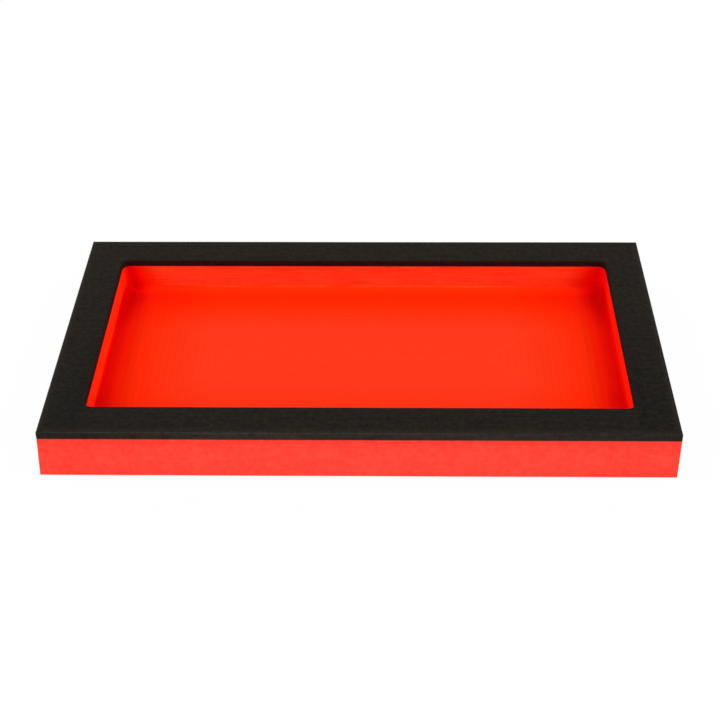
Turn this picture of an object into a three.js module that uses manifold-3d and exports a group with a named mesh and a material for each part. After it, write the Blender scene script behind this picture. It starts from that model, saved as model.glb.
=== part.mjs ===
// Foam storage tray: a black foam sheet bonded to a red foam block, with one rectangular pocket
// milled through the sheet and the bond and down into the block.
// Millimetres, +Z up. The origin is the middle of the underside, +X runs along the tray and its
// front faces -Y.

import * as THREE from 'three';
import { mergeVertices } from 'three/addons/utils/BufferGeometryUtils.js';
import Module from 'manifold-3d';

// Driving dimensions
const trayLength = 345;         // along X
const trayWidth = 195;          // along Y
const blockThickness = 25;      // red foam under the bond
const filmThickness = 0.25;     // adhesive film between the two foams
const sheetThickness = 5;       // black foam on top
const borderWidth = 22;         // foam left between the pocket and each outer face
const floorThickness = 10;      // red foam left under the pocket
const cutterDiameter = 10;      // end mill whose radius stays in the pocket's upright corners
const cutterNoseRadius = 1;     // rounded tip of the end mill, left between the walls and the floor
const sheetEdgeRadius = 1.2;    // rounding that the sheet's skin takes along its outer top edge

// How finely round stretches are divided, and how far a cut runs past the face it opens
const cornerSteps = 4;          // pairs of facets in each pocket corner
const noseSteps = 3;            // facets from the pocket's walls to its floor
const edgeSteps = 4;            // facets across the sheet's rounded edge
const cutRunOut = 2;

// Heights of the layers above the underside
const filmBottom = blockThickness;
const sheetBottom = filmBottom + filmThickness;
const trayHeight = sheetBottom + sheetThickness;

// Plan of the pocket
const pocketLength = trayLength - 2 * borderWidth;
const pocketWidth = trayWidth - 2 * borderWidth;
const pocketCornerRadius = cutterDiameter / 2;

const wasm = await Module();
wasm.setup();

// A closed three.js geometry as a solid that can be cut
function solidOf(geometry) {
  geometry.deleteAttribute('normal');
  geometry.deleteAttribute('uv');
  const merged = mergeVertices(geometry);
  return new wasm.Manifold(new wasm.Mesh({
    numProp: 3,
    vertProperties: merged.attributes.position.array,
    triVerts: new Uint32Array(merged.index.array),
  }));
}

// A solid as a three.js geometry with flat faces
function geometryOf(solid) {
  const { vertProperties, triVerts } = solid.getMesh();
  const indexed = new THREE.BufferGeometry();
  indexed.setAttribute('position', new THREE.BufferAttribute(vertProperties, 3));
  indexed.setIndex(new THREE.BufferAttribute(triVerts, 1));
  const geometry = indexed.toNonIndexed();
  geometry.computeVertexNormals();
  return geometry;
}

// A rectangle about the origin with square corners: the plan of the slab as it is sawn
function sawnOutline(length, width) {
  const x = length / 2;
  const y = width / 2;
  return new THREE.Shape().moveTo(-x, -y).lineTo(x, -y).lineTo(x, y).lineTo(-x, y).closePath();
}

// A rectangle about the origin with round corners: the plan that a turning cutter leaves
function milledOutline(length, width, radius) {
  const x = length / 2 - radius;
  const y = width / 2 - radius;
  const quarter = Math.PI / 2;
  const outline = new THREE.Shape();
  outline.absarc(x, -y, radius, -quarter, 0);
  outline.absarc(x, y, radius, 0, quarter);
  outline.absarc(-x, y, radius, quarter, 2 * quarter);
  outline.absarc(-x, -y, radius, 2 * quarter, 3 * quarter);
  return outline.closePath();
}

// A layer of the slab standing on its own underside, with square edges
function sawnLayer(thickness) {
  const outline = sawnOutline(trayLength, trayWidth);
  return solidOf(new THREE.ExtrudeGeometry(outline, { depth: thickness, bevelEnabled: false }));
}

// A layer whose outer top edge is rounded: both edges are rounded by the bevel, and the lower one,
// which hangs below the layer's underside, is cut away
function roundedLayer(thickness, edgeRadius) {
  const geometry = new THREE.ExtrudeGeometry(sawnOutline(trayLength, trayWidth), {
    depth: thickness,
    bevelThickness: edgeRadius,
    bevelSize: edgeRadius,
    bevelOffset: -edgeRadius,
    bevelSegments: edgeSteps,
  });
  geometry.translate(0, 0, -edgeRadius);
  const belowOutline = sawnOutline(trayLength + 2 * cutRunOut, trayWidth + 2 * cutRunOut);
  const belowDepth = 2 * edgeRadius + cutRunOut;
  const below = new THREE.ExtrudeGeometry(belowOutline, { depth: belowDepth, bevelEnabled: false });
  below.translate(0, 0, -belowDepth);
  return solidOf(geometry).subtract(solidOf(below));
}

// What the cutter takes out of the finished slab, from the pocket's floor up past the sheet. The bevel
// gives the lower edge the cutter's nose, and its upper one lies clear above the tray
function pocketCut() {
  const outline = milledOutline(pocketLength, pocketWidth, pocketCornerRadius);
  const geometry = new THREE.ExtrudeGeometry(outline, {
    depth: trayHeight + cutRunOut - floorThickness - cutterNoseRadius,
    bevelThickness: cutterNoseRadius,
    bevelSize: cutterNoseRadius,
    bevelOffset: -cutterNoseRadius,
    bevelSegments: noseSteps,
    curveSegments: cornerSteps,
  });
  geometry.translate(0, 0, floorThickness + cutterNoseRadius);
  return solidOf(geometry);
}

// The three layers are milled in one pass after they are bonded, so one cut serves them all
const pocket = pocketCut();

function trayPart(name, layer, bottom, finish) {
  const milled = layer.subtract(pocket.translate(0, 0, -bottom));
  const mesh = new THREE.Mesh(geometryOf(milled), new THREE.MeshStandardMaterial(finish));
  mesh.name = name;
  mesh.position.z = bottom;
  return mesh;
}

const redFoam = { color: '#f23a1c', roughness: 0.9, metalness: 0 };
const blackFoam = { color: '#242120', roughness: 0.85, metalness: 0 };
const clearAdhesive = { color: '#c9a184', roughness: 0.5, metalness: 0 };

const tray = new THREE.Group();
tray.add(trayPart('base_block', sawnLayer(blockThickness), 0, redFoam));
tray.add(trayPart('bond_film', sawnLayer(filmThickness), filmBottom, clearAdhesive));
tray.add(trayPart('top_sheet', roundedLayer(sheetThickness, sheetEdgeRadius), sheetBottom, blackFoam));

export default tray;
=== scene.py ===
"""Foam storage tray: a black foam sheet bonded to a red foam block, with one pocket milled into the two.

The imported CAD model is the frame. The block and the sheet are modelled over it with the passes of the
cutter, the rolled edge of the sheet and the slight waver of sawn foam. The film of adhesive between them
keeps its CAD mesh. Metres, +Z up, the origin in the middle of the underside, the front towards -Y.
"""

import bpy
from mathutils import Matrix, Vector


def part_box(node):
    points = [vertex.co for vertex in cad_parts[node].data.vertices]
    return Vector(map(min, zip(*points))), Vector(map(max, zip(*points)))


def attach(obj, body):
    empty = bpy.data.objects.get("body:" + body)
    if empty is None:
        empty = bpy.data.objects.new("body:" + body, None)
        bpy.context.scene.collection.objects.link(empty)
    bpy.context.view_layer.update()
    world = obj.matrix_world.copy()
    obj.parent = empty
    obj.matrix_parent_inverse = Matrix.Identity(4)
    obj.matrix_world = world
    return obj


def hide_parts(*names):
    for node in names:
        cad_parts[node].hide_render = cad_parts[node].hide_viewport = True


bl_info = {
    "name": "Foam storage tray",
    "version": (1, 0, 0),
    "blender": (4, 5, 0),
    "location": "View3D > Sidebar > Foam tray",
    "description": "Models a two-colour foam tray with a milled pocket over its packed frame",
    "category": "Object",
}

import math

import bmesh
import bpy
from bpy.props import FloatProperty, FloatVectorProperty, IntProperty, PointerProperty
from mathutils import Matrix, Vector, noise

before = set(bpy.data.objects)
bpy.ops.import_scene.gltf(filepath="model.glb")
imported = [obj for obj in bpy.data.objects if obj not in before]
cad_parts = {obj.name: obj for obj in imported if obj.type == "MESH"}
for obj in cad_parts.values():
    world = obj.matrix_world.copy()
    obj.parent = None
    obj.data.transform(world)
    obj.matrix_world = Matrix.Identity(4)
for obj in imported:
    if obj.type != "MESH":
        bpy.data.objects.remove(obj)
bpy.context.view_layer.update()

MM = 0.001
TOUCH = 0.02 * MM           # two coordinates closer than this are the same place
BLOCK_LOW, BLOCK_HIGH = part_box("base_block")
SHEET_LOW, SHEET_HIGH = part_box("top_sheet")

SHARP_ANGLE = math.radians(35)      # edges that turn more than this keep a crease in their shading
LIP_ANGLE = math.radians(60)        # edges of the sheet's top that turn more than this are its mouth
PASS_FACETS = 4                     # steps across one pass of the cutter
MOUTH_FACETS = 5                    # facets across the rounded edge of the sheet's mouth
ROLL_STEPS = (0.34, 0.67, 1.0)      # where the strip that rolls down is cut, as shares of its width
END_SEED, SIDE_SEED, TOP_SEED = 3.1, 7.7, 5.3   # one pattern of waver for each way that a face looks

MIDDLE_REACH = 50 * MM              # half the length over which finishes pass from left to right
BACK_REACH = 40 * MM                # width of the strip over which finishes pass to the back
# The ridge tone paints a highlight on the ridges between the cutter's passes.
FAINTEST_RIDGE_HIGHLIGHT = 0.35                  # tone of the faintest ridges on the floor
# The corner green and the back tint paint shade along the pocket's back wall and in its back corners.
CORNER_SHADE_GREEN = 0.04                 # share of green and blue that stays in the pocket's back corners
BACK_SHADE_TINT = (1.0, 1.0, 0.0, 1.0)

FRONT_SOFTBOX = (1.6, -1.6, 1.0)    # place of the right one of each pair
SIDE_SOFTBOX = (1.4, 0.0, 2.0)
BACK_SOFTBOX = (1.6, 1.6, 1.0)
SOFTBOX_SIZE = 1.2
FLOOR_REACH = 4.0                   # half the floor's width
FLOOR_GAP = 0.05 * MM               # the floor lies this far under the tray
SENSOR_WIDTH = 36.0                 # of the camera, in millimetres


# Sizes that are read off the frame

def inside_block():
    """The places of the CAD block's vertices that lie on its pocket, clear of its outer sides."""
    places = [vertex.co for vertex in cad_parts["base_block"].data.vertices]
    return [co for co in places if abs(co.x) < BLOCK_HIGH.x - TOUCH and abs(co.y) < BLOCK_HIGH.y - TOUCH]


POCKET_PLACES = inside_block()
POCKET_X = max(co.x for co in POCKET_PLACES)
POCKET_Y = max(co.y for co in POCKET_PLACES)
POCKET_FLOOR = min(co.z for co in POCKET_PLACES)
CORNER_RADIUS = POCKET_Y - max(co.y for co in POCKET_PLACES if co.x > POCKET_X - TOUCH)
NOSE_RADIUS = POCKET_X - max(co.x for co in POCKET_PLACES if co.z < POCKET_FLOOR + TOUCH)
EDGE_RADIUS = SHEET_HIGH.x - max(
    vertex.co.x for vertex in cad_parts["top_sheet"].data.vertices
    if vertex.co.z > SHEET_HIGH.z - TOUCH
)


# What a user may change

class FOAMTRAY_PG_shape(bpy.types.PropertyGroup):
    """Forms that the tools leave in the foam, over the sizes that come from the frame."""

    corner_facets: IntProperty(
        name="Corner facets", description="Facets in each upright corner of the pocket",
        default=12, min=2, max=48)
    nose_facets: IntProperty(
        name="Nose facets", description="Facets in the fillet between the pocket's walls and its floor",
        default=5, min=1, max=16)
    edge_facets: IntProperty(
        name="Edge facets", description="Facets across the sheet's rounded outer edge",
        default=7, min=1, max=24)
    pass_width: FloatProperty(
        name="Pass width", description="Distance between two passes of the cutter over the floor",
        default=4 * MM, min=1 * MM, max=20 * MM, unit="LENGTH", subtype="DISTANCE")
    ridge_height: FloatProperty(
        name="Ridge height", description="Height of the ridge that two passes leave between them",
        default=0.10 * MM, min=0, max=1 * MM, unit="LENGTH", subtype="DISTANCE")
    roll_width: FloatProperty(
        name="Roll width", description="Width of the strip along its outer edge where the sheet rolls down",
        default=4.5 * MM, min=1 * MM, max=15 * MM, unit="LENGTH", subtype="DISTANCE")
    roll_drop: FloatProperty(
        name="Roll drop", description="How far the sheet has rolled down at its outer edge",
        default=0.35 * MM, min=0, max=2 * MM, unit="LENGTH", subtype="DISTANCE")
    mouth_radius: FloatProperty(
        name="Mouth radius", description="Rounding of the sheet's cut edge at the back of the pocket",
        default=1.5 * MM, min=0.05 * MM, max=2 * MM, unit="LENGTH", subtype="DISTANCE")
    mouth_keenness: FloatProperty(
        name="Mouth keenness",
        description="Share by which that rounding is smaller elsewhere around the pocket",
        default=0.75, min=0, max=0.95, subtype="FACTOR")
    left_lean: FloatProperty(
        name="Left lean", description="How far the foot of the block's left side is sawn proud",
        default=1.2 * MM, min=0, max=5 * MM, unit="LENGTH", subtype="DISTANCE")
    waver: FloatProperty(
        name="Waver", description="How far sawn and milled faces wander off their planes",
        default=0.12 * MM, min=0, max=1 * MM, unit="LENGTH", subtype="DISTANCE")
    waver_length: FloatProperty(
        name="Waver length", description="Distance over which the faces wander",
        default=45 * MM, min=5 * MM, max=200 * MM, unit="LENGTH", subtype="DISTANCE")
    mesh_step: FloatProperty(
        name="Mesh step", description="Distance between the cuts that let long faces bend",
        default=11.5 * MM, min=3 * MM, max=50 * MM, unit="LENGTH", subtype="DISTANCE")


class FOAMTRAY_PG_finish(bpy.types.PropertyGroup):
    """Colours of the foams and the film, and the scale of the foam's grain."""

    milled_red: FloatVectorProperty(
        name="Milled red", description="Red foam where the cutter has opened it",
        default=(0.93, 0.036, 0.008), min=0, max=1, subtype="COLOR")
    # The wall red is paler than the milled red: painted light on the pocket's walls.
    lit_wall_red: FloatVectorProperty(
        name="Wall red", description="Red foam on the pocket's walls, opened by the side of the cutter",
        default=(0.95, 0.046, 0.011), min=0, max=1, subtype="COLOR")
    # The next three reds are painted shade that deepens the milled red towards the pocket's walls.
    first_shade_red: FloatVectorProperty(
        name="First shade red", description="First step of the deeper red towards the pocket's walls",
        default=(0.94, 0.0195, 0.0001), min=0, max=1, subtype="COLOR")
    # Second step of the painted shade towards the walls.
    second_shade_red: FloatVectorProperty(
        name="Deep red", description="Second step of the deeper red towards the pocket's walls",
        default=(0.98, 0.0105, 0.0002), min=0, max=1, subtype="COLOR")
    # Darkest painted shade, at the foot of the end walls and in the back corners.
    darkest_shade_red: FloatVectorProperty(
        name="Darkest shade red", description="Deepest red, at the foot of the end walls and in the back corners",
        default=(0.73, 0.0004, 0.0001), min=0, max=1, subtype="COLOR")
    sawn_red: FloatVectorProperty(
        name="Sawn red", description="Red foam on its sawn sides and underside",
        default=(0.94, 0.024, 0.010), min=0, max=1, subtype="COLOR")
    torn_red: FloatVectorProperty(
        name="Torn red", description="Paler red of the cells that the saw tore open",
        default=(0.99, 0.067, 0.039), min=0, max=1, subtype="COLOR")
    black_skin: FloatVectorProperty(
        name="Black skin", description="Skin of the black foam sheet",
        default=(0.0092, 0.0071, 0.0048), min=0, max=1, subtype="COLOR")
    # The paler black is a painted highlight along the sheet's rounded outer edge and the back of its mouth.
    black_highlight: FloatVectorProperty(
        name="Highlight black", description="Paler skin of the black foam along its outer edge",
        default=(0.0222, 0.0176, 0.0140), min=0, max=1, subtype="COLOR")
    black_sawn: FloatVectorProperty(
        name="Sawn black", description="Black foam on its sawn outer sides",
        default=(0.0250, 0.0193, 0.0156), min=0, max=1, subtype="COLOR")
    # The red tint of the milled black is painted red light bounced from the pocket.
    black_milled: FloatVectorProperty(
        name="Milled black", description="Black foam where it is milled, with red dust in its cells",
        default=(0.0170, 0.0052, 0.0040), min=0, max=1, subtype="COLOR")
    adhesive: FloatVectorProperty(
        name="Adhesive", description="Film of adhesive where its edge shows between the foams",
        default=(0.16, 0.022, 0.012), min=0, max=1, subtype="COLOR")
    cell_size: FloatProperty(
        name="Cell size", description="Width of one cell of the foam",
        default=0.6 * MM, min=0.1 * MM, max=5 * MM, unit="LENGTH", subtype="DISTANCE")
    clump_size: FloatProperty(
        name="Clump size", description="Width of the clumps of cells that are paler or darker together",
        default=3.0 * MM, min=0.5 * MM, max=20 * MM, unit="LENGTH", subtype="DISTANCE")
    streak_length: FloatProperty(
        name="Streak length", description="Length of the streaks that the tools draw along the foam",
        default=20 * MM, min=5 * MM, max=200 * MM, unit="LENGTH", subtype="DISTANCE")
    streak_width: FloatProperty(
        name="Streak width", description="Width of the streaks that the tools draw along the foam",
        default=0.8 * MM, min=0.2 * MM, max=10 * MM, unit="LENGTH", subtype="DISTANCE")


class FOAMTRAY_PG_studio(bpy.types.PropertyGroup):
    """Camera, light and floor of the picture."""

    camera_place: FloatVectorProperty(
        name="Camera place", description="Where the camera stands",
        default=(0.01745, -0.73295, 0.53761), unit="LENGTH", subtype="TRANSLATION")
    camera_pitch: FloatProperty(
        name="Camera pitch", description="How far the camera looks down",
        default=math.radians(35.871), unit="ROTATION", subtype="ANGLE")
    camera_yaw: FloatProperty(
        name="Camera yaw", description="How far the camera turns to the right of +Y",
        default=math.radians(-1.431), unit="ROTATION", subtype="ANGLE")
    camera_roll: FloatProperty(
        name="Camera roll", description="How far the camera leans to the left",
        default=math.radians(-0.677), unit="ROTATION", subtype="ANGLE")
    lens: FloatProperty(
        name="Lens", description="Focal length in millimetres on a sensor 36 mm wide",
        default=76.38, min=10, max=300)
    ambient: FloatProperty(
        name="Ambient light", description="Strength of the white room around the tray",
        default=0.05, min=0, max=5)
    front_power: FloatProperty(
        name="Front softboxes", description="Power of each of the two low softboxes at the front",
        default=25.0, min=0, max=400, unit="POWER")
    side_power: FloatProperty(
        name="Side softboxes", description="Power of each of the two high softboxes at the sides",
        default=22.4, min=0, max=400, unit="POWER")
    back_power: FloatProperty(
        name="Back softboxes", description="Power of each of the two low softboxes at the back",
        default=18.4, min=0, max=400, unit="POWER")
    slant: FloatProperty(
        name="Slant", description="Share by which the right front and left back softboxes are stronger",
        default=0.22, min=0, max=1, subtype="FACTOR")
    floor_colour: FloatVectorProperty(
        name="Floor", description="Colour of the studio's floor",
        default=(0.9, 0.9, 0.9), min=0, max=1, subtype="COLOR")
    floor_veil: FloatProperty(
        name="Floor veil", description="Share of pure white that the camera sees in the floor",
        default=0.97, min=0, max=1, subtype="FACTOR")


class FOAMTRAY_PG_settings(bpy.types.PropertyGroup):
    """All that can be set on the tray and its studio."""

    shape: PointerProperty(type=FOAMTRAY_PG_shape)
    finish: PointerProperty(type=FOAMTRAY_PG_finish)
    studio: PointerProperty(type=FOAMTRAY_PG_studio)


# Shaping the foam

def slab_between(low, high):
    """A bmesh of a plain slab between two corners."""
    bm = bmesh.new()
    placed = Matrix.LocRotScale((low + high) / 2, None, high - low)
    bmesh.ops.create_cube(bm, size=1.0, matrix=placed)
    return bm


def level_face(bm, height):
    """The largest face that lies level at a height."""
    level = [face for face in bm.faces
             if all(abs(vertex.co.z - height) < TOUCH for vertex in face.verts)]
    return max(level, key=lambda face: face.calc_area())


def upright_edges(bm, half_x, half_y):
    """The edges that stand on the four corners of a rectangle about the origin."""
    def on_corner(vertex):
        return abs(abs(vertex.co.x) - half_x) < TOUCH and abs(abs(vertex.co.y) - half_y) < TOUCH
    return [edge for edge in bm.edges
            if all(on_corner(vertex) for vertex in edge.verts)
            and abs(edge.verts[0].co.z - edge.verts[1].co.z) > TOUCH]


def round_edges(bm, edges, radius, facets):
    """Rounds edges with a circular profile."""
    bmesh.ops.bevel(bm, geom=edges, offset=radius, offset_type="OFFSET", segments=facets, profile=0.5,
                    affect="EDGES", material=-1, clamp_overlap=True)


def cut_across(bm, axis, places):
    """Cuts the mesh at places along one axis, so that its long faces can bend there."""
    for place in places:
        normal = Vector((0, 0, 0))
        normal[axis] = 1.0
        geometry = bm.verts[:] + bm.edges[:] + bm.faces[:]
        bmesh.ops.bisect_plane(bm, geom=geometry, dist=TOUCH / 10, plane_co=normal * place, plane_no=normal)


def even_places(half, step, also=()):
    """Places about the origin at an even step within a half length, and others on both sides."""
    count = int((half - step / 2) / step)
    places = [step * index for index in range(-count, count + 1)]
    return places + [sign * place for place in also for sign in (-1, 1)]


def wander(co, shape, seed):
    """How far a place lies off its plane, between minus and plus the waver."""
    offset = Vector((seed, 2.3 * seed, -1.7 * seed))
    return shape.waver * noise.noise(co / shape.waver_length + offset)


def inset_of(co, half_x, half_y):
    """Distance of a place from the nearest side of a rectangle about the origin, inwards."""
    return min(half_x - abs(co.x), half_y - abs(co.y))


def push_sides(bm, shape):
    """Lets the sawn outer sides wander, the same way at every height so that the layers stay flush, and
    leans the block's left side out towards its foot."""
    for vertex in bm.verts:
        co = vertex.co
        plan = Vector((co.x, co.y, 0))
        leaned = shape.left_lean * max(0.0, 1 - co.z / BLOCK_HIGH.z)
        on_left = co.x < BLOCK_LOW.x + TOUCH
        if abs(abs(co.x) - BLOCK_HIGH.x) < TOUCH:
            co.x -= math.copysign(abs(wander(plan, shape, END_SEED)), co.x)
        if on_left:
            co.x -= leaned
        if abs(abs(co.y) - BLOCK_HIGH.y) < TOUCH:
            co.y -= math.copysign(abs(wander(plan, shape, SIDE_SEED)), co.y)


def mill_floor(bm, shape):
    """Divides the pocket's floor into the rings that the cutter goes round, from the walls to the middle."""
    round_edges(bm, level_face(bm, POCKET_FLOOR).edges[:], NOSE_RADIUS, shape.nose_facets)
    floor = level_face(bm, POCKET_FLOOR)
    bmesh.ops.inset_region(bm, faces=[floor], thickness=CORNER_RADIUS - NOSE_RADIUS, use_even_offset=True)
    corner = Vector((POCKET_X - CORNER_RADIUS, POCKET_Y - CORNER_RADIUS, POCKET_FLOOR))
    corners = [corner * Vector((x, y, 1)) for x in (-1, 1) for y in (-1, 1)]
    turns = [[vertex for vertex in floor.verts if (vertex.co - place).length < CORNER_RADIUS / 4]
             for place in corners]
    for place, turn in zip(corners, turns):
        bmesh.ops.pointmerge(bm, verts=turn, merge_co=place)
    floor = level_face(bm, POCKET_FLOOR)
    bmesh.ops.inset_region(bm, faces=[floor], thickness=CORNER_RADIUS, use_even_offset=True)
    first = 2 * CORNER_RADIUS
    passes = int((POCKET_Y - first - shape.pass_width / 8) / shape.pass_width)
    for _ in range(passes):
        for edge in floor.edges:
            edge.smooth = False
        for _ in range(PASS_FACETS):
            step = shape.pass_width / PASS_FACETS
            bmesh.ops.inset_region(bm, faces=[floor], thickness=step, use_even_offset=True)
    for vertex in bm.verts:
        inset = inset_of(vertex.co, POCKET_X, POCKET_Y)
        if abs(vertex.co.z - POCKET_FLOOR) < TOUCH and inset > first - TOUCH:
            across = (inset - first) / shape.pass_width % 1.0
            vertex.co.z += shape.ridge_height * (2 * across - 1) ** 2


def block_mesh(shape):
    """The red block: a sawn slab with the pocket milled into it."""
    bm = slab_between(BLOCK_LOW, BLOCK_HIGH)
    mouth = level_face(bm, BLOCK_HIGH.z)
    bmesh.ops.inset_region(bm, faces=[mouth], thickness=BLOCK_HIGH.x - POCKET_X, use_even_offset=True)
    sunk = bmesh.ops.extrude_face_region(bm, geom=[mouth])
    sunk_vertices = [item for item in sunk["geom"] if isinstance(item, bmesh.types.BMVert)]
    bmesh.ops.translate(bm, verts=sunk_vertices, vec=(0, 0, POCKET_FLOOR - BLOCK_HIGH.z))
    bmesh.ops.delete(bm, geom=[mouth], context="FACES_ONLY")
    round_edges(bm, upright_edges(bm, POCKET_X, POCKET_Y), CORNER_RADIUS, shape.corner_facets)
    mill_floor(bm, shape)
    cut_across(bm, 0, even_places(BLOCK_HIGH.x, shape.mesh_step))
    cut_across(bm, 1, even_places(BLOCK_HIGH.y, shape.mesh_step))
    for face in bm.faces:
        inset = inset_of(face.calc_center_median(), POCKET_X, POCKET_Y)
        face.material_index = 1 if inset > -TOUCH and face.calc_center_median().z > TOUCH else 0
    push_sides(bm, shape)
    return bm


def out_of_pocket(co):
    """How far a place lies outside the pocket's rounded outline, and the level direction away from it."""
    corner = Vector((POCKET_X - CORNER_RADIUS, POCKET_Y - CORNER_RADIUS, 0))
    off = Vector((max(0.0, abs(co.x) - corner.x), max(0.0, abs(co.y) - corner.y), 0))
    away = Vector((math.copysign(off.x, co.x), math.copysign(off.y, co.y), 0))
    return off.length - CORNER_RADIUS, away.normalized()


def sharpen_mouth(bm, shape):
    """Draws the rounded edge of the sheet's mouth together, except along the back of the pocket."""
    for vertex in bm.verts:
        co = vertex.co
        outside, away = out_of_pocket(co)
        if co.z > SHEET_HIGH.z - shape.mouth_radius - TOUCH and outside < shape.mouth_radius + TOUCH:
            from_back = (POCKET_Y - co.y) / (4 * CORNER_RADIUS)
            drawn = shape.mouth_keenness * min(max(from_back, 0.0), 1.0)
            co -= away * outside * drawn
            co.z += (SHEET_HIGH.z - co.z) * drawn


def sheet_mesh(shape):
    """The black sheet: a sawn frame around the pocket, its outer top edge rolled down and rounded."""
    bm = slab_between(SHEET_LOW, SHEET_HIGH)
    border = SHEET_HIGH.x - POCKET_X
    panes = [level_face(bm, SHEET_HIGH.z), level_face(bm, SHEET_LOW.z)]
    for pane in panes:
        bmesh.ops.inset_region(bm, faces=[pane], thickness=border, use_even_offset=True)
    mouth = [edge for pane in panes for edge in pane.edges]
    bmesh.ops.delete(bm, geom=panes, context="FACES_ONLY")
    bmesh.ops.bridge_loops(bm, edges=mouth)
    round_edges(bm, upright_edges(bm, POCKET_X, POCKET_Y), CORNER_RADIUS, shape.corner_facets)

    def on_top(edge):
        return all(abs(vertex.co.z - SHEET_HIGH.z) < TOUCH for vertex in edge.verts)

    def along(edge, half_x, half_y):
        return all(abs(inset_of(vertex.co, half_x, half_y)) < TOUCH for vertex in edge.verts)

    rim = [edge for edge in bm.edges if on_top(edge) and along(edge, SHEET_HIGH.x, SHEET_HIGH.y)]
    round_edges(bm, rim, EDGE_RADIUS, shape.edge_facets)
    lip = [edge for edge in bm.edges
           if on_top(edge) and len(edge.link_faces) == 2 and edge.calc_face_angle() > LIP_ANGLE]
    round_edges(bm, lip, shape.mouth_radius, MOUTH_FACETS)
    sharpen_mouth(bm, shape)
    roll_cuts = [EDGE_RADIUS + (shape.roll_width - EDGE_RADIUS) * share for share in ROLL_STEPS]
    step = shape.mesh_step
    cut_across(bm, 0, even_places(SHEET_HIGH.x, step, [SHEET_HIGH.x - cut for cut in roll_cuts]))
    cut_across(bm, 1, even_places(SHEET_HIGH.y, step, [SHEET_HIGH.y - cut for cut in roll_cuts]))
    for face in bm.faces:
        if abs(face.normal.z) < 0.1:
            inset = inset_of(face.calc_center_median(), POCKET_X, POCKET_Y)
            face.material_index = 2 if inset > -TOUCH else 1
    top = SHEET_HIGH.z - EDGE_RADIUS
    push_sides(bm, shape)
    for vertex in bm.verts:
        co = vertex.co
        if co.z > top - TOUCH:
            rolled = max(0.0, 1 - inset_of(co, SHEET_HIGH.x, SHEET_HIGH.y) / shape.roll_width)
            share = (co.z - top) / EDGE_RADIUS
            co.z -= share * (shape.roll_drop * rolled ** 2 + abs(wander(co, shape, TOP_SEED)))
    return bm


def add_piece(name, bm, materials, node):
    """Turns a bmesh into a finished piece that stands for a CAD node."""
    bmesh.ops.recalc_face_normals(bm, faces=bm.faces[:])
    for edge in bm.edges:
        if not edge.is_manifold:
            raise RuntimeError(f"{name}: its mesh is open")
        if edge.calc_face_angle() > SHARP_ANGLE:
            edge.smooth = False
    for face in bm.faces:
        face.smooth = True
    mesh = bpy.data.meshes.new(name)
    bm.to_mesh(mesh)
    bm.free()
    for material in materials:
        mesh.materials.append(material)
    piece = bpy.data.objects.new(name, mesh)
    bpy.context.scene.collection.objects.link(piece)
    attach(piece, "root")
    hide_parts(node)
    return piece


# Building node trees

def feed(tree, socket, value):
    """Links a socket to another one, or sets it to a plain value."""
    if isinstance(value, bpy.types.NodeSocket):
        tree.links.new(value, socket)
    else:
        socket.default_value = value


def add_node(tree, kind, inputs=None, **options):
    """A node with its inputs fed by name."""
    node = tree.nodes.new(kind)
    for name, value in options.items():
        setattr(node, name, value)
    for name, value in (inputs or {}).items():
        feed(tree, node.inputs[name], value)
    return node


def calc(tree, operation, *values):
    """The result of a Math node over sockets and plain numbers."""
    node = add_node(tree, "ShaderNodeMath", operation=operation)
    for socket, value in zip(node.inputs, values):
        feed(tree, socket, value)
    return node.outputs[0]


def remap(tree, value, low, high, new_low, new_high):
    """A value taken from one range to another and held inside it."""
    node = add_node(tree, "ShaderNodeMapRange", {
        "Value": value, "From Min": low, "From Max": high, "To Min": new_low, "To Max": new_high})
    return node.outputs["Result"]


def blend_colours(tree, share, first, second):
    """A colour between two, by a share from a socket."""
    node = add_node(tree, "ShaderNodeMix", data_type="RGBA")
    feed(tree, node.inputs[0], share)
    feed(tree, node.inputs[6], first)
    feed(tree, node.inputs[7], second)
    return node.outputs[2]


def multiply_colours(tree, first, second):
    """The product of two colours."""
    node = add_node(tree, "ShaderNodeMix", data_type="RGBA", blend_type="MULTIPLY")
    feed(tree, node.inputs[0], 1.0)
    feed(tree, node.inputs[6], first)
    feed(tree, node.inputs[7], second)
    return node.outputs[2]


def shade_of(colour, factor=1.0):
    """A colour made paler or darker by a factor, with full alpha."""
    return tuple(min(1.0, channel * factor) for channel in colour) + (1.0,)


def warmth(factor):
    """A colour that makes a red it multiplies more orange or purer, by a factor on its green and blue."""
    return (1.0, factor, factor, 1.0)


def new_group(name, inputs, outputs):
    """An empty shader node group with named sockets, and its input and output nodes."""
    tree = bpy.data.node_groups.new(name, "ShaderNodeTree")
    for label, kind in inputs:
        tree.interface.new_socket(label, in_out="INPUT", socket_type=kind)
    for label in outputs:
        tree.interface.new_socket(label, in_out="OUTPUT", socket_type="NodeSocketFloat")
    source = tree.nodes.new("NodeGroupInput").outputs
    result = tree.nodes.new("NodeGroupOutput").inputs
    return tree, source, result


def shared_group(name, build):
    """A node group that is built the first time it is asked for."""
    return bpy.data.node_groups.get(name) or build(name)


def build_cells(name):
    """Foam cells: a height with a pit in each cell, and a tone that differs from cell to cell."""
    tree, source, result = new_group(
        name, [("Vector", "NodeSocketVector"), ("Cell Size", "NodeSocketFloat")], ["Height", "Tone"])
    scale = calc(tree, "DIVIDE", 1.0, source["Cell Size"])
    cells = add_node(tree, "ShaderNodeTexVoronoi", {"Vector": source["Vector"], "Scale": scale})
    grain = add_node(tree, "ShaderNodeTexNoise", {
        "Vector": source["Vector"], "Scale": calc(tree, "MULTIPLY", scale, 2.2), "Detail": 2.0})
    height = calc(tree, "MULTIPLY_ADD", grain.outputs["Fac"], 0.5, cells.outputs["Distance"])
    tree.links.new(height, result["Height"])
    split = add_node(tree, "ShaderNodeSeparateColor", {"Color": cells.outputs["Color"]})
    tree.links.new(split.outputs[0], result["Tone"])
    return tree


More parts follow.
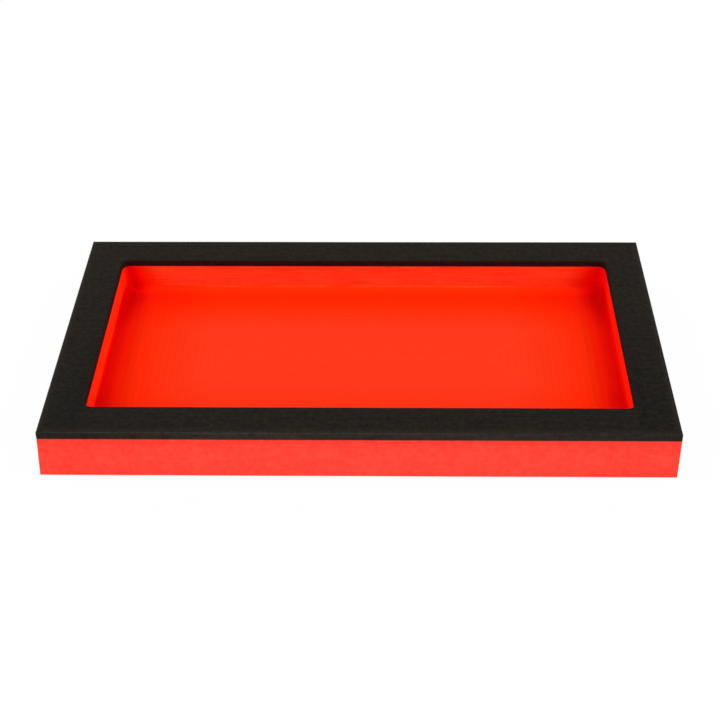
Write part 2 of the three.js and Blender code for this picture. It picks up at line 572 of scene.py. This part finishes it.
def build_clouds(name):
    """Foam clouds: a soft tone that wanders between paler and darker, with its own size along each axis."""
    tree, source, result = new_group(
        name, [("Vector", "NodeSocketVector"), ("Sizes", "NodeSocketVector")], ["Tone"])
    scaled = add_node(tree, "ShaderNodeVectorMath", operation="DIVIDE")
    feed(tree, scaled.inputs[0], source["Vector"])
    feed(tree, scaled.inputs[1], source["Sizes"])
    cloud = add_node(tree, "ShaderNodeTexNoise", {
        "Vector": scaled.outputs[0], "Scale": 1.0, "Detail": 2.0, "Roughness": 0.55})
    tree.links.new(remap(tree, cloud.outputs["Fac"], 0.32, 0.68, 0.0, 1.0), result["Tone"])
    return tree


def build_inset(name):
    """Inset: distance inwards from a rectangle's sides, and closeness to the mitres of its corners."""
    inputs = [("Vector", "NodeSocketVector"), ("Half Length", "NodeSocketFloat"),
              ("Half Width", "NodeSocketFloat"), ("Mitre Width", "NodeSocketFloat")]
    tree, source, result = new_group(name, inputs, ["From End", "From Side", "Distance", "Mitre"])
    place = add_node(tree, "ShaderNodeSeparateXYZ", {"Vector": source["Vector"]})
    from_end = calc(tree, "SUBTRACT", source["Half Length"], calc(tree, "ABSOLUTE", place.outputs["X"]))
    from_side = calc(tree, "SUBTRACT", source["Half Width"], calc(tree, "ABSOLUTE", place.outputs["Y"]))
    tree.links.new(from_end, result["From End"])
    tree.links.new(from_side, result["From Side"])
    tree.links.new(calc(tree, "MINIMUM", from_end, from_side), result["Distance"])
    off_mitre = calc(tree, "ABSOLUTE", calc(tree, "SUBTRACT", from_end, from_side))
    closeness = calc(tree, "SUBTRACT", 1.0, calc(tree, "DIVIDE", off_mitre, source["Mitre Width"]))
    tree.links.new(calc(tree, "MAXIMUM", closeness, 0.0), result["Mitre"])
    return tree


def place_group(tree, name, build, **inputs):
    """The outputs of a shared group placed in a material with its own values."""
    node = add_node(tree, "ShaderNodeGroup", node_tree=shared_group(name, build))
    for label, value in inputs.items():
        feed(tree, node.inputs[label.replace("_", " ")], value)
    return node.outputs


# Finishes

def new_finish(name, gloss):
    """A material with a Principled shader of a given specular level, and its Object coordinates."""
    material = bpy.data.materials.new(name)
    material.use_nodes = True
    tree = material.node_tree
    shader = tree.nodes["Principled BSDF"]
    shader.inputs["Specular IOR Level"].default_value = gloss
    place = add_node(tree, "ShaderNodeTexCoord").outputs["Object"]
    return material, tree, shader, place


def cover_foam(tree, shader, colour, tone, roughness, height, depth, strength):
    """Gives a shader a foam's colour, its roughness by a tone, and the relief of its cells to a depth."""
    tree.links.new(colour, shader.inputs["Base Color"])
    tree.links.new(remap(tree, tone, 0.0, 1.0, *roughness), shader.inputs["Roughness"])
    bump = add_node(tree, "ShaderNodeBump", {"Height": height, "Distance": depth, "Strength": strength})
    tree.links.new(bump.outputs["Normal"], shader.inputs["Normal"])


def axes_of(tree, place):
    """The X, Y and Z of a place."""
    return add_node(tree, "ShaderNodeSeparateXYZ", {"Vector": place}).outputs


def clouds_of(tree, place, *sizes):
    """The tone of clouds of one size, or of a size along each axis."""
    sizes = sizes * 3 if len(sizes) == 1 else sizes
    return place_group(tree, "Foam clouds", build_clouds, Vector=place, Sizes=sizes)["Tone"]


def inset_from(tree, place, half_length, half_width, mitre_width=1 * MM):
    """Distances inwards from the sides of a rectangle about the origin."""
    return place_group(tree, "Inset", build_inset, Vector=place, Half_Length=half_length,
                       Half_Width=half_width, Mitre_Width=mitre_width)


def sum_of(tree, *parts, start=0.0):
    """A sum of sockets, each with its own share, from a plain starting value."""
    total = start
    for socket, share in parts:
        total = calc(tree, "MULTIPLY_ADD", socket, share, total)
    return total


def product_of(tree, first, *others):
    """A product of sockets."""
    product = first
    for socket in others:
        product = calc(tree, "MULTIPLY", product, socket)
    return product


def grow(tree, value, start, end):
    """0 up to the start of a range, rising to 1 at its end."""
    return remap(tree, value, start, end, 0.0, 1.0)


def fade(tree, value, start, end):
    """1 up to the start of a range, falling to 0 at its end."""
    return remap(tree, value, start, end, 1.0, 0.0)


def by_end(tree, axes, left, right):
    """A value that passes from the tray's left half to its right half, over the middle of its length."""
    return remap(tree, axes["X"], -MIDDLE_REACH, MIDDLE_REACH, left, right)


def at_back(tree, axes):
    """1 in the back part of the tray, 0 in its front half."""
    return grow(tree, axes["Y"], 0.0, BACK_REACH)


def mid_length(tree, sides):
    """1 along the middle of the tray's long sides, falling towards its ends."""
    return grow(tree, sides["From End"], 15 * MM, 95 * MM)


def shades_by(tree, tone, colour, darkest, palest):
    """A colour between a darker and a paler shade of itself, by a tone."""
    return blend_colours(tree, tone, shade_of(colour, darkest), shade_of(colour, palest))


def foam_tones(tree, place, finish, streak_sizes):
    """The tones of opened foam: single cells, clumps of them and streaks, with the height of the cells."""
    cells = place_group(tree, "Foam cells", build_cells, Vector=place, Cell_Size=finish.cell_size)
    clumps = clouds_of(tree, place, finish.clump_size)
    streaks = clouds_of(tree, place, *streak_sizes)
    return cells["Tone"], clumps, streaks, cells["Height"]


def level_streaks(finish):
    """Sizes of streaks that lie level along every side."""
    return finish.streak_length, finish.streak_length, finish.streak_width


def sawn_red_foam(finish):
    """Red foam as the saw leaves it: clumps of torn, paler cells, with faint streaks along the cut, painted
    shade darker towards the top and painted light paler along the middle of the long sides.
    """
    material, tree, shader, place = new_finish("sawn_red_foam", 0.35)
    cells, clumps, streaks, height = foam_tones(tree, place, finish, level_streaks(finish))
    up = axes_of(tree, place)["Z"]
    # Painted shade darkens the sides over their top half and more just under the film; painted light makes
    # them paler along the middle of the long sides.
    top_shade = grow(tree, up, 0.5 * BLOCK_HIGH.z, BLOCK_HIGH.z)
    at_film = grow(tree, up, 0.82 * BLOCK_HIGH.z, 0.97 * BLOCK_HIGH.z)
    sides = inset_from(tree, place, BLOCK_HIGH.x, BLOCK_HIGH.y)
    tone = sum_of(tree, (cells, 0.2), (clumps, 0.55), (streaks, 0.25), (top_shade, -0.27), (at_film, -0.20),
                  (mid_length(tree, sides), 0.16), start=-0.08)
    colour = blend_colours(tree, tone, shade_of(finish.sawn_red), shade_of(finish.torn_red))
    cover_foam(tree, shader, colour, tone, (0.78, 0.92), height, 0.12 * MM, 0.5)
    return material


def over_floor(tree, place):
    """Height of a place in the pocket over its floor."""
    height = calc(tree, "SUBTRACT", axes_of(tree, place)["Z"], POCKET_FLOOR)
    return calc(tree, "MAXIMUM", height, 0.0)


def from_corner(tree, rings, rise):
    """Distance along a wall or the floor from the pocket's upright corners, longer higher up the wall."""
    from_end = calc(tree, "MAXIMUM", rings["From End"], 0.0)
    return calc(tree, "MULTIPLY_ADD", rise, 0.35, from_end)


def painted_back_shade(tree, place, rings, rise):
    """Painted shade: a colour that takes the blue out of the floor along the back wall, and the green too in
    its corners.
    """
    axes = axes_of(tree, place)
    on_floor = fade(tree, rise, 0.05 * MM, 0.5 * MM)
    near_wall = fade(tree, rings["From Side"], 18 * MM, 40 * MM)
    along_back = product_of(tree, near_wall, on_floor, at_back(tree, axes))
    off_end = calc(tree, "SUBTRACT", rings["From End"], rings["From Side"])
    swept = calc(tree, "MAXIMUM", remap(tree, off_end, -2 * MM, 3.5 * MM, 0.2, 1.0), on_floor)
    swept = calc(tree, "MAXIMUM", swept, by_end(tree, axes, 0.0, 1.0))
    at_corner = fade(tree, from_corner(tree, rings, rise), 9 * MM, 17 * MM)
    at_side = fade(tree, rings["From Side"], 3 * MM, 20 * MM)
    in_corner = product_of(tree, at_corner, at_side, swept, at_back(tree, axes))
    no_blue = blend_colours(tree, along_back, warmth(1.0), BACK_SHADE_TINT)
    return blend_colours(tree, in_corner, no_blue, warmth(CORNER_SHADE_GREEN))


def painted_shade_depth(tree, place, rings, rise):
    """How deep the painted shade makes the milled red, as the photograph shows it: most at the foot of the
    end walls and in the back corners, some along the long walls."""
    axes = axes_of(tree, place)
    from_end = calc(tree, "MAXIMUM", rings["From End"], 0.0)
    off_end = calc(tree, "SUBTRACT", rings["From End"], rings["From Side"])
    along_side = grow(tree, off_end, -4 * MM, 4 * MM)
    steep = by_end(tree, axes, 6.0, 1.4)
    highest = by_end(tree, axes, 22 * MM, 9.5 * MM)
    climb = calc(tree, "MINIMUM", calc(tree, "MULTIPLY", rise, steep), highest)
    climb = calc(tree, "MULTIPLY", climb, calc(tree, "SUBTRACT", 1.0, along_side))
    from_foot = calc(tree, "ADD", climb, from_end)
    wide = remap(tree, from_foot, 0.0, 62 * MM, 0.55, 0.0)
    close = remap(tree, from_foot, 2 * MM, 17 * MM, 0.43, 0.0)
    ends = calc(tree, "ADD", wide, close)
    long_wall = product_of(tree, along_side, grow(tree, rise, 0.3 * MM, 2 * MM))
    deepest = by_end(tree, axes, 1.0, 0.8)
    in_corner = remap(tree, from_corner(tree, rings, rise), 7 * MM, 27 * MM, deepest, 0.0)
    at_foot = product_of(tree, fade(tree, rings["From Side"], 3 * MM, 9 * MM), along_side,
                         at_back(tree, axes))
    ends = calc(tree, "MAXIMUM", ends, calc(tree, "MULTIPLY", in_corner, at_foot))
    ends = remap(tree, long_wall, 0.0, 1.0, ends, in_corner)
    grown = remap(tree, rings["From Side"], 2 * MM, 10 * MM, 0.0, 0.40)
    faded = remap(tree, rings["From Side"], 14 * MM, 48 * MM, 0.40, 0.0)
    off_front = remap(tree, axes["Y"], -60 * MM, -20 * MM, 0.1, 1.0)
    on_floor = fade(tree, rise, 0.5 * MM, 2 * MM)
    sides = product_of(tree, calc(tree, "MINIMUM", grown, faded), on_floor, off_front)
    spared = calc(tree, "MULTIPLY_ADD", ends, -0.5, 1.0)
    return calc(tree, "MULTIPLY_ADD", sides, spared, ends)


def painted_ridge_highlight(tree, place, rings, shape):
    """A painted highlight: highest on the ridges between the cutter's passes over the floor and falling to 0
    between them, and on the mitres where the passes turn.
    """
    axes = axes_of(tree, place)
    into_floor = calc(tree, "SUBTRACT", rings["Distance"], 2 * CORNER_RADIUS)
    passes = calc(tree, "DIVIDE", into_floor, shape.pass_width)
    across = calc(tree, "MULTIPLY_ADD", calc(tree, "FRACT", passes), 2.0, -1.0)
    along_ends = calc(tree, "GREATER_THAN", rings["From Side"], rings["From End"])
    height = remap(tree, rings["From End"], 10 * MM, 70 * MM, 1.0, FAINTEST_RIDGE_HIGHLIGHT)
    height = calc(tree, "MULTIPLY", height, by_end(tree, axes, 1.0, 1.3))
    height = remap(tree, along_ends, 0.0, 1.0, FAINTEST_RIDGE_HIGHLIGHT, height)
    ridges = calc(tree, "MULTIPLY", calc(tree, "POWER", calc(tree, "ABSOLUTE", across), 2.0), height)
    mitre = calc(tree, "MULTIPLY", rings["Mitre"], by_end(tree, axes, 0.4, 0.8))
    return calc(tree, "MAXIMUM", mitre, ridges)


def milled_red_foam(finish, shape):
    """Red foam as the cutter leaves it: deeper in colour towards the walls by painted shade, with a painted
    highlight on the ridges between the passes over the floor and on the seam where they turn their corners,
    and paler on the walls by painted light."""
    material, tree, shader, place = new_finish("milled_red_foam", 0.03)
    cells, clumps, streaks, height = foam_tones(tree, place, finish, level_streaks(finish))
    rings = inset_from(tree, place, POCKET_X, POCKET_Y, 2.0 * MM)
    rise = over_floor(tree, place)
    on_wall = fade(tree, rings["Distance"], 0.5 * MM, 1.3 * MM)
    swept = grow(tree, rings["Distance"], 9 * MM, 12 * MM)
    # Painted highlight on the ridges between passes and on the mitre seams.
    ridge_highlights = calc(tree, "MULTIPLY", painted_ridge_highlight(tree, place, rings, shape), swept)
    floor_tone = sum_of(tree, (cells, 0.133), (clumps, 0.31), (ridge_highlights, 0.62))
    wall_tone = sum_of(tree, (cells, 0.1), (clumps, 0.2), (streaks, 0.7))
    floor_warmth = blend_colours(tree, floor_tone, warmth(0.86), warmth(1.22))
    wall_warmth = blend_colours(tree, wall_tone, warmth(0.5), warmth(1.5))
    # The paler wall red is painted light on the walls.
    colour = blend_colours(tree, on_wall, shade_of(finish.milled_red), shade_of(finish.lit_wall_red))
    # Painted shade deepens the red in steps towards the walls and into the back corners.
    depth = painted_shade_depth(tree, place, rings, rise)
    stages = (
        (0.0, 0.45, finish.first_shade_red),
        (0.45, 0.7, finish.second_shade_red),
        (0.7, 1.0, finish.darkest_shade_red),
    )
    for start, end, reached in stages:
        colour = blend_colours(tree, grow(tree, depth, start, end), colour, shade_of(reached))
    colour = multiply_colours(tree, colour, blend_colours(tree, on_wall, floor_warmth, wall_warmth))
    # Painted shade takes the blue out along the back wall and the green too in the back corners.
    colour = multiply_colours(tree, colour, painted_back_shade(tree, place, rings, rise))
    cover_foam(tree, shader, colour, clumps, (0.85, 0.95), height, 0.06 * MM, 0.5)
    return material


def black_foam_skin(finish):
    """Skin of the black sheet: fine-grained and streaked, with a painted highlight along its outer edges and
    the back of its mouth, painted light paler along the middle and towards the back, and painted shade at the
    ends towards the front.
    """
    material, tree, shader, place = new_finish("black_foam_skin", 0.05)
    along = (finish.streak_length, finish.streak_width, finish.streak_width)
    cells, clumps, streaks, height = foam_tones(tree, place, finish, along)
    axes = axes_of(tree, place)
    to_back = grow(tree, axes["Y"], SHEET_LOW.y, SHEET_HIGH.y)
    sides = inset_from(tree, place, SHEET_HIGH.x, SHEET_HIGH.y)
    mouth = inset_from(tree, place, POCKET_X, POCKET_Y)
    past_end = calc(tree, "MULTIPLY", mouth["From End"], -1.0)
    end_shade = product_of(tree, grow(tree, past_end, 0.0, 1 * MM),
                         remap(tree, past_end, 2 * MM, 16 * MM, 1.0, 0.5),
                         fade(tree, axes["Y"], -60 * MM, 30 * MM))
    middle = mid_length(tree, sides)
    # Painted light makes the skin paler along the middle and towards the back; painted shade darkens the end
    # borders towards the front.
    tone = sum_of(tree, (cells, 0.5), (clumps, 0.5), (streaks, 0.35), (middle, 0.08), (to_back, 0.14),
                  (end_shade, -0.17), start=-0.3)
    skin = shades_by(tree, tone, finish.black_skin, 0.1, 1.9)
    # Painted highlight along the rounded outer edge and the back of the mouth.
    at_edge = calc(tree, "POWER", fade(tree, sides["Distance"], 0.3 * MM, 5.5 * MM), 2.2)
    edge_highlight = product_of(tree, at_edge, remap(tree, middle, 0.0, 1.0, 0.9, 1.0),
                      remap(tree, tone, 0.2, 0.8, 0.6, 1.0))
    at_mouth = product_of(tree, remap(tree, mouth["Distance"], -2.2 * MM, -0.2 * MM, 0.0, 0.55),
                          grow(tree, axes["Y"], POCKET_Y - 4 * MM, POCKET_Y))
    edge_highlight = calc(tree, "MAXIMUM", edge_highlight, at_mouth)
    colour = blend_colours(tree, edge_highlight, skin, shade_of(finish.black_highlight))
    # A brighter painted highlight on the rounded rim itself.
    at_rim = product_of(tree, fade(tree, sides["Distance"], 0.1 * MM, 0.6 * MM),
                        remap(tree, tone, 0.1, 0.7, 0.3, 1.0),
                        remap(tree, axes["X"], 0.0, 120 * MM, 1.0, 0.35))
    colour = blend_colours(tree, at_rim, colour, shade_of(finish.black_highlight, 1.9))
    cover_foam(tree, shader, colour, tone, (0.72, 0.92), height, 0.10 * MM, 0.6)
    return material


def black_foam_sawn(finish):
    """Black foam as the saw leaves it: open cells in streaks along the cut, palest along the middle by
    painted light.
    """
    material, tree, shader, place = new_finish("black_foam_sawn", 0.06)
    cells, clumps, streaks, height = foam_tones(tree, place, finish, level_streaks(finish))
    tone = sum_of(tree, (cells, 0.3), (clumps, 0.25), (streaks, 0.45))
    middle = mid_length(tree, inset_from(tree, place, SHEET_HIGH.x, SHEET_HIGH.y))
    # Painted light makes the sawn sides palest along the middle.
    dark = shades_by(tree, middle, finish.black_sawn, 0.2, 0.3)
    pale = shades_by(tree, middle, finish.black_sawn, 1.1, 1.7)
    colour = blend_colours(tree, tone, dark, pale)
    cover_foam(tree, shader, colour, tone, (0.8, 0.95), height, 0.14 * MM, 0.7)
    return material


def black_foam_milled(finish):
    """Black foam around the pocket as the cutter leaves it, tinted red by painted light bounced from the
    pocket.
    """
    material, tree, shader, place = new_finish("black_foam_milled", 0.04)
    cells, clumps, streaks, height = foam_tones(tree, place, finish, level_streaks(finish))
    tone = sum_of(tree, (cells, 0.3), (clumps, 0.4), (streaks, 0.3))
    # The red tint here is painted light bounced from the pocket.
    colour = shades_by(tree, tone, finish.black_milled, 0.5, 1.5)
    cover_foam(tree, shader, colour, tone, (0.82, 0.95), height, 0.10 * MM, 0.6)
    return material


def adhesive_film(finish):
    """The edge of the adhesive film: smoother than the foams and stained by both."""
    material, tree, shader, place = new_finish("adhesive_film", 0.3)
    stain = clouds_of(tree, place, 3 * MM)
    tree.links.new(shades_by(tree, stain, finish.adhesive, 0.6, 1.3), shader.inputs["Base Color"])
    tree.links.new(remap(tree, stain, 0.0, 1.0, 0.45, 0.65), shader.inputs["Roughness"])
    return material


# Studio

def seen_directly(tree):
    """1 for what the camera sees, straight or by gloss or glass, and 0 for light on its way."""
    path = add_node(tree, "ShaderNodeLightPath").outputs
    straight = calc(tree, "MAXIMUM", path["Is Camera Ray"], path["Is Glossy Ray"])
    return calc(tree, "MAXIMUM", straight, path["Is Transmission Ray"])


def make_floor(studio):
    """A wide white floor that the camera sees through a veil of pure white."""
    bm = bmesh.new()
    bmesh.ops.create_grid(bm, x_segments=1, y_segments=1, size=FLOOR_REACH)
    bmesh.ops.translate(bm, verts=bm.verts[:], vec=(0, 0, BLOCK_LOW.z - FLOOR_GAP))
    mesh = bpy.data.meshes.new("studio_floor")
    bm.to_mesh(mesh)
    bm.free()
    material = bpy.data.materials.new("studio_white")
    material.use_nodes = True
    tree = material.node_tree
    shader = tree.nodes["Principled BSDF"]
    shader.inputs["Base Color"].default_value = tuple(studio.floor_colour) + (1.0,)
    shader.inputs["Roughness"].default_value = 1.0
    shader.inputs["Specular IOR Level"].default_value = 0.0
    white = add_node(tree, "ShaderNodeEmission", {"Strength": 1.0})
    veil = add_node(tree, "ShaderNodeMixShader", {
        "Fac": calc(tree, "MULTIPLY", seen_directly(tree), studio.floor_veil)})
    tree.links.new(shader.outputs[0], veil.inputs[1])
    tree.links.new(white.outputs[0], veil.inputs[2])
    tree.links.new(veil.outputs[0], tree.nodes["Material Output"].inputs["Surface"])
    mesh.materials.append(material)
    floor = bpy.data.objects.new("studio_floor", mesh)
    bpy.context.scene.collection.objects.link(floor)


def make_room(studio):
    """A white room around the tray, with its own strength as a light."""
    world = bpy.data.worlds.new("studio_room")
    world.use_nodes = True
    tree = world.node_tree
    room = tree.nodes["Background"]
    room.inputs["Color"].default_value = (1, 1, 1, 1)
    feed(tree, room.inputs["Strength"], remap(tree, seen_directly(tree), 0, 1, studio.ambient, 1.0))
    bpy.context.scene.world = world


def make_softboxes(name, place, power, slant):
    """Two square softboxes that face the tray from both sides, the right one stronger by a share."""
    for side, sign in (("right", 1), ("left", -1)):
        lamp = bpy.data.lights.new(f"{name}_{side}", "AREA")
        lamp.shape = "SQUARE"
        lamp.size = SOFTBOX_SIZE
        lamp.energy = power * (1 + sign * slant)
        softbox = bpy.data.objects.new(lamp.name, lamp)
        softbox.location = Vector(place) * Vector((sign, 1, 1))
        softbox.rotation_euler = (-softbox.location).to_track_quat("-Z", "Y").to_euler()
        bpy.context.scene.collection.objects.link(softbox)


def make_camera(studio):
    """The camera at the photograph's viewing angle."""
    data = bpy.data.cameras.new("photo_camera")
    data.sensor_width = SENSOR_WIDTH
    data.lens = studio.lens
    camera = bpy.data.objects.new("photo_camera", data)
    yaw = Matrix.Rotation(-studio.camera_yaw, 4, "Z")
    pitch = Matrix.Rotation(math.pi / 2 - studio.camera_pitch, 4, "X")
    roll = Matrix.Rotation(studio.camera_roll, 4, "Z")
    camera.matrix_world = Matrix.Translation(studio.camera_place) @ yaw @ pitch @ roll
    bpy.context.scene.collection.objects.link(camera)
    bpy.context.scene.camera = camera


# Operators

class FOAMTRAY_OT_block(bpy.types.Operator):
    """Model the red foam block with its milled pocket"""

    bl_idname = "foam_tray.block"
    bl_label = "Red foam block"

    def execute(self, context):
        settings = context.scene.foam_tray
        finish = settings.finish
        materials = [sawn_red_foam(finish), milled_red_foam(finish, settings.shape)]
        add_piece("foam_block", block_mesh(settings.shape), materials, "base_block")
        return {"FINISHED"}


class FOAMTRAY_OT_sheet(bpy.types.Operator):
    """Model the black foam sheet that frames the pocket"""

    bl_idname = "foam_tray.sheet"
    bl_label = "Black foam sheet"

    def execute(self, context):
        settings = context.scene.foam_tray
        finish = settings.finish
        materials = [black_foam_skin(finish), black_foam_sawn(finish), black_foam_milled(finish)]
        add_piece("foam_sheet", sheet_mesh(settings.shape), materials, "top_sheet")
        return {"FINISHED"}


class FOAMTRAY_OT_film(bpy.types.Operator):
    """Finish the film of adhesive between the two foams"""

    bl_idname = "foam_tray.film"
    bl_label = "Adhesive film"

    def execute(self, context):
        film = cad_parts["bond_film"].data
        film.materials.clear()
        film.materials.append(adhesive_film(context.scene.foam_tray.finish))
        return {"FINISHED"}


class FOAMTRAY_OT_studio(bpy.types.Operator):
    """Set up the floor, the light and the camera"""

    bl_idname = "foam_tray.studio"
    bl_label = "Studio"

    def execute(self, context):
        studio = context.scene.foam_tray.studio
        make_floor(studio)
        make_room(studio)
        make_softboxes("front_softbox", FRONT_SOFTBOX, studio.front_power, studio.slant)
        make_softboxes("side_softbox", SIDE_SOFTBOX, studio.side_power, 0.0)
        make_softboxes("back_softbox", BACK_SOFTBOX, studio.back_power, -studio.slant)
        make_camera(studio)
        context.scene.view_settings.view_transform = "Standard"
        return {"FINISHED"}


class FOAMTRAY_PT_sidebar(bpy.types.Panel):
    """The tray's pieces and settings in the sidebar"""

    bl_idname = "FOAMTRAY_PT_sidebar"
    bl_label = "Foam tray"
    bl_space_type = "VIEW_3D"
    bl_region_type = "UI"
    bl_category = "Foam tray"

    def draw(self, context):
        settings = context.scene.foam_tray
        for operator in OPERATORS:
            self.layout.operator(operator.bl_idname)
        for group in (settings.shape, settings.finish, settings.studio):
            box = self.layout.box()
            for name in group.__annotations__:
                box.prop(group, name)


OPERATORS = (FOAMTRAY_OT_block, FOAMTRAY_OT_sheet, FOAMTRAY_OT_film, FOAMTRAY_OT_studio)
GROUPS = (FOAMTRAY_PG_shape, FOAMTRAY_PG_finish, FOAMTRAY_PG_studio, FOAMTRAY_PG_settings)
CLASSES = GROUPS + OPERATORS + (FOAMTRAY_PT_sidebar,)


def register():
    for entry in CLASSES:
        bpy.utils.register_class(entry)
    bpy.types.Scene.foam_tray = PointerProperty(type=FOAMTRAY_PG_settings)


def unregister():
    del bpy.types.Scene.foam_tray
    for entry in reversed(CLASSES):
        bpy.utils.unregister_class(entry)


def main():
    """Builds the tray and its studio."""
    register()
    bpy.ops.foam_tray.block()
    bpy.ops.foam_tray.sheet()
    bpy.ops.foam_tray.film()
    bpy.ops.foam_tray.studio()


if __name__ == "__main__":
    main()
